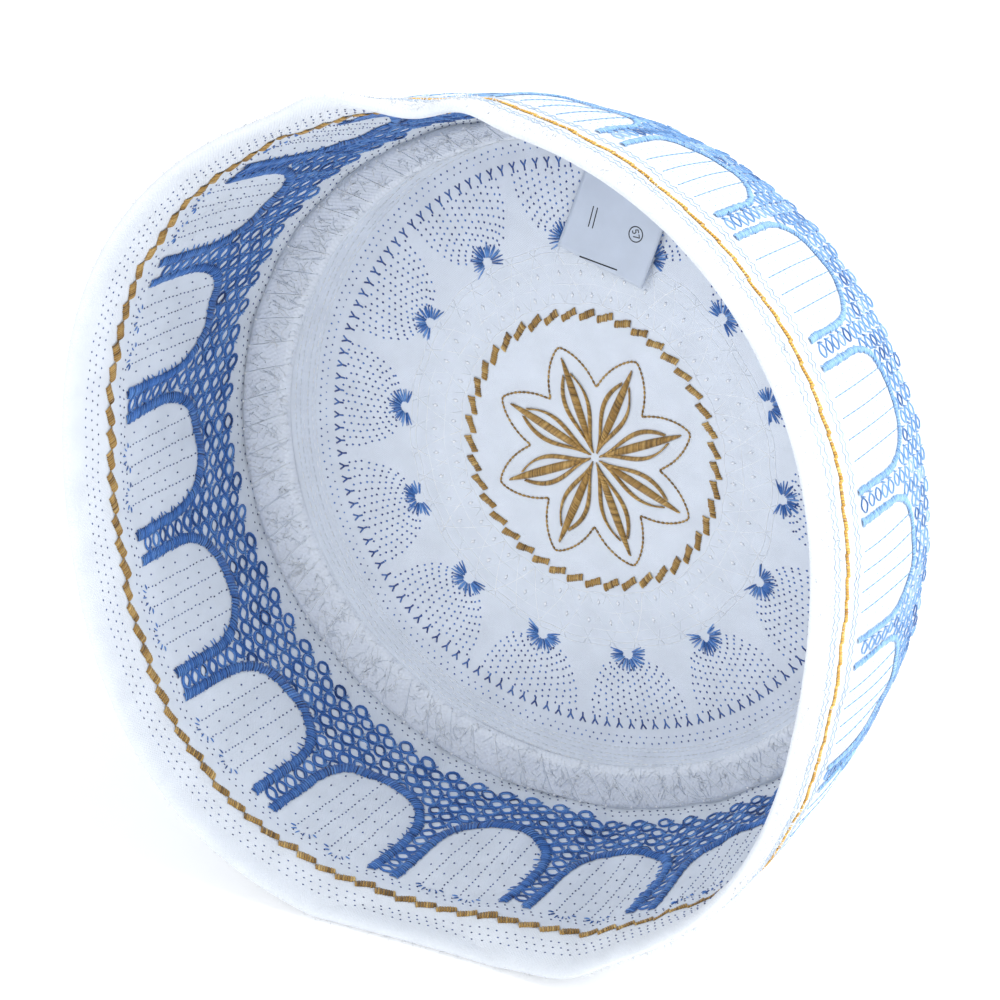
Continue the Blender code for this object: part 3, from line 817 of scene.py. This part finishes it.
for i, r in enumerate((68.9, 69.9, 70.9, 71.9, 72.9, 73.9)):
    a = np.arange(205)[:, None] * 1.756 + i % 2 * 0.9 + np.linspace(0, 1.1, 3)
    path, normal = on_crown(1)(polar(r, a))
    parts.append(threads(path, normal, 0.13, 0.09, rng.uniform(0.5, 1, (205, 1))))
turn = np.radians(np.arange(84) * 360 / 84)[:, None]
share = np.linspace(0.05, 0.93, 9)[None, :]
path = tape_at(turn + share * 0.06, share, 0.0)
up = np.broadcast_to([0.0, 0, 1], path.shape)
parts.append(threads(path, up, 0.16, 0.22, rng.uniform(0.4, 0.9, (84, 1))))
parts.append(dots(path[:, -1], up[:, -1], path[:, -1] - path[:, -2], 0.4, 0.5, 0.5, np.ones(84)))
made = joined(*parts)
add_piece("white_stitches", made[0], made[1], white_thread, shade=made[2])


def fleece(count):
    """Short loose fibres that wander over the tape, each a smooth random walk."""
    turn, share = rng.uniform(0, 2 * np.pi, (count, 1)), rng.uniform(0.03, 0.97, (count, 1))
    walk = np.cumsum(rng.normal(0, 1, (count, 4, 2)), 1) * [0.006, 0.06] + rng.normal(0, 1, (count, 1, 2)) * [0.012, 0.12] * np.arange(4)[None, :, None] / 2
    path = tape_at(turn + walk[..., 0], np.clip(share + walk[..., 1], 0.02, 0.98), 0.03 + 0.12 * np.array([0, 1, 1, 0])[None])
    return threads(path, np.broadcast_to([0.0, 0, 1], path.shape), 0.07, 0.1, rng.uniform(0.3, 1, (count, 1)))


made = fleece(1800)
add_piece("tape_fleece", made[0], made[1], white_thread, shade=made[2])


def hem_nap(count):
    """The brushed nap on the hem's outside and edge: short fibres leaning away from the cloth."""
    arch, height = rng.uniform(0, ARCHES, count), WALL_HEIGHT + rng.uniform(0.2, 1, count) * HEM_HEIGHT * 0.99
    at, normal = band_at(arch, height, 1)
    wander = rng.normal(0, 0.5, (count, 3))
    rise = np.array([-0.1, 0.5, 1.0])[None, :, None]
    path = at[:, None] + (normal * 0.55 + wander)[:, None] * rise
    return threads(path, np.cross(normal, wander)[:, None] + 0 * path + 1e-6, [0.1, 0.08, 0.03], 0.08, rng.uniform(0.6, 1, (count, 1)))


made = hem_nap(5200)
add_piece("hem_nap", made[0], made[1], white_thread, shade=made[2])

# ---- Label print --------------------------------------------------------------------------------------------------
# Black print on the satin: the head size in a ring, a pair of plain rules and a short one.
ink = thread_finish("label_ink", (0.01, 0.01, 0.012), (0.02, 0.02, 0.022), (0.04, 0.04, 0.045), 0.6, 0.0)


def print_at(flat):
    """A little above the label's satin, over x and y of the cap frame."""
    outward = flat[..., 0] * np.cos(LABEL_WAY) + flat[..., 1] * np.sin(LABEL_WAY)
    aside = flat[..., 0] * np.sin(LABEL_WAY) - flat[..., 1] * np.cos(LABEL_WAY)
    path = label_at(LABEL_START - outward, aside - LABEL_ASIDE, LABEL_THICK + 0.02)
    return path, np.broadcast_to([0.0, 0, 1], path.shape)


def pen(*corners):
    """A stroke through these corners, as nine points at equal shares."""
    corners = np.array(corners, float)
    share = np.linspace(0, len(corners) - 1, 13)
    return np.stack([np.interp(share, np.arange(len(corners)), corners[:, i]) for i in (0, 1)], -1)


ring = polar(1.65, np.linspace(0, 360, 25)[:-1], (4.0, 50.6))
path, up = print_at(ring[None])
parts = [threads(path, up, 0.12, 0.05, np.full((1, 1), 0.3), closed=True)]
upright = np.array([[np.cos(-1.2), -np.sin(-1.2)], [np.sin(-1.2), np.cos(-1.2)]])
five = pen((-0.2, 0.75), (-0.85, 0.75), (-0.9, 0.1), (-0.4, 0.15), (-0.2, -0.25), (-0.45, -0.7), (-0.9, -0.6))
seven = pen((0.1, 0.75), (0.9, 0.75), (0.6, 0.0), (0.4, -0.7))
strokes = [s @ upright.T + (4.0, 50.6) for s in (five, seven)]
strokes += [pen((-7.0, 53.9), (-7.4, 49.3)), pen((-6.0, 53.8), (-6.4, 49.2)), pen((-8.1, 42.7), (1.2, 42.1))]
path, up = print_at(np.stack(strokes))
parts.append(threads(path, up, np.array([0.11, 0.11, 0.12, 0.12, 0.16])[:, None], 0.05, np.full((5, 1), 0.3)))
made = joined(*parts)
add_piece("label_print", made[0], made[1], ink, shade=made[2])

# ---- Floor, light and camera ------------------------------------------------------------------------------------
# A plain white floor and soft studio light, brighter from the right and from above, and the photograph's angle.
floor_mesh = bpy.data.meshes.new("floor")
floor_mesh.from_pydata([(-6, -6, 0), (6, -6, 0), (6, 6, 0), (-6, 6, 0)], [], [(0, 1, 2, 3)])
floor = bpy.data.objects.new("floor", floor_mesh)
bpy.context.scene.collection.objects.link(floor)
paper = bpy.data.materials.new("studio_paper")
paper.use_nodes = True
shader = paper.node_tree.nodes["Principled BSDF"]
shader.inputs["Base Color"].default_value = (0.93, 0.93, 0.93, 1)
shader.inputs["Roughness"].default_value = 0.9
shader.inputs["Emission Color"].default_value = (1, 1, 1, 1)
shader.inputs["Emission Strength"].default_value = 0.22
floor_mesh.materials.append(paper)

world = bpy.data.worlds.new("studio")
bpy.context.scene.world = world
world.use_nodes = True
world.node_tree.nodes["Background"].inputs["Color"].default_value = (0.95, 0.975, 1, 1)
world.node_tree.nodes["Background"].inputs["Strength"].default_value = 0.85


def soft_box(name, at, size, power):
    """A square area light turned to the cap."""
    data = bpy.data.lights.new(name, "AREA")
    data.size, data.energy = size, power
    light = bpy.data.objects.new(name, data)
    light.location = at
    light.rotation_euler = (Vector((0, 0, 0.09)) - Vector(at)).to_track_quat("-Z", "Y").to_euler()
    bpy.context.scene.collection.objects.link(light)


soft_box("key", (0.9, 0.25, 1.1), 0.9, 16)
soft_box("fill", (-0.7, -1.2, 0.9), 1.2, 4)

lens = bpy.data.cameras.new("camera")
lens.lens, lens.sensor_width = 198, 36
camera = bpy.data.objects.new("camera", lens)
camera.location = (0.4976, -0.8474, 0.7066)
camera.rotation_euler = Vector((-0.430, 0.7285, -0.533)).to_track_quat("-Z", "Y").to_euler()
bpy.context.scene.collection.objects.link(camera)
bpy.context.scene.camera = camera
bpy.context.scene.view_settings.view_transform = "Standard"
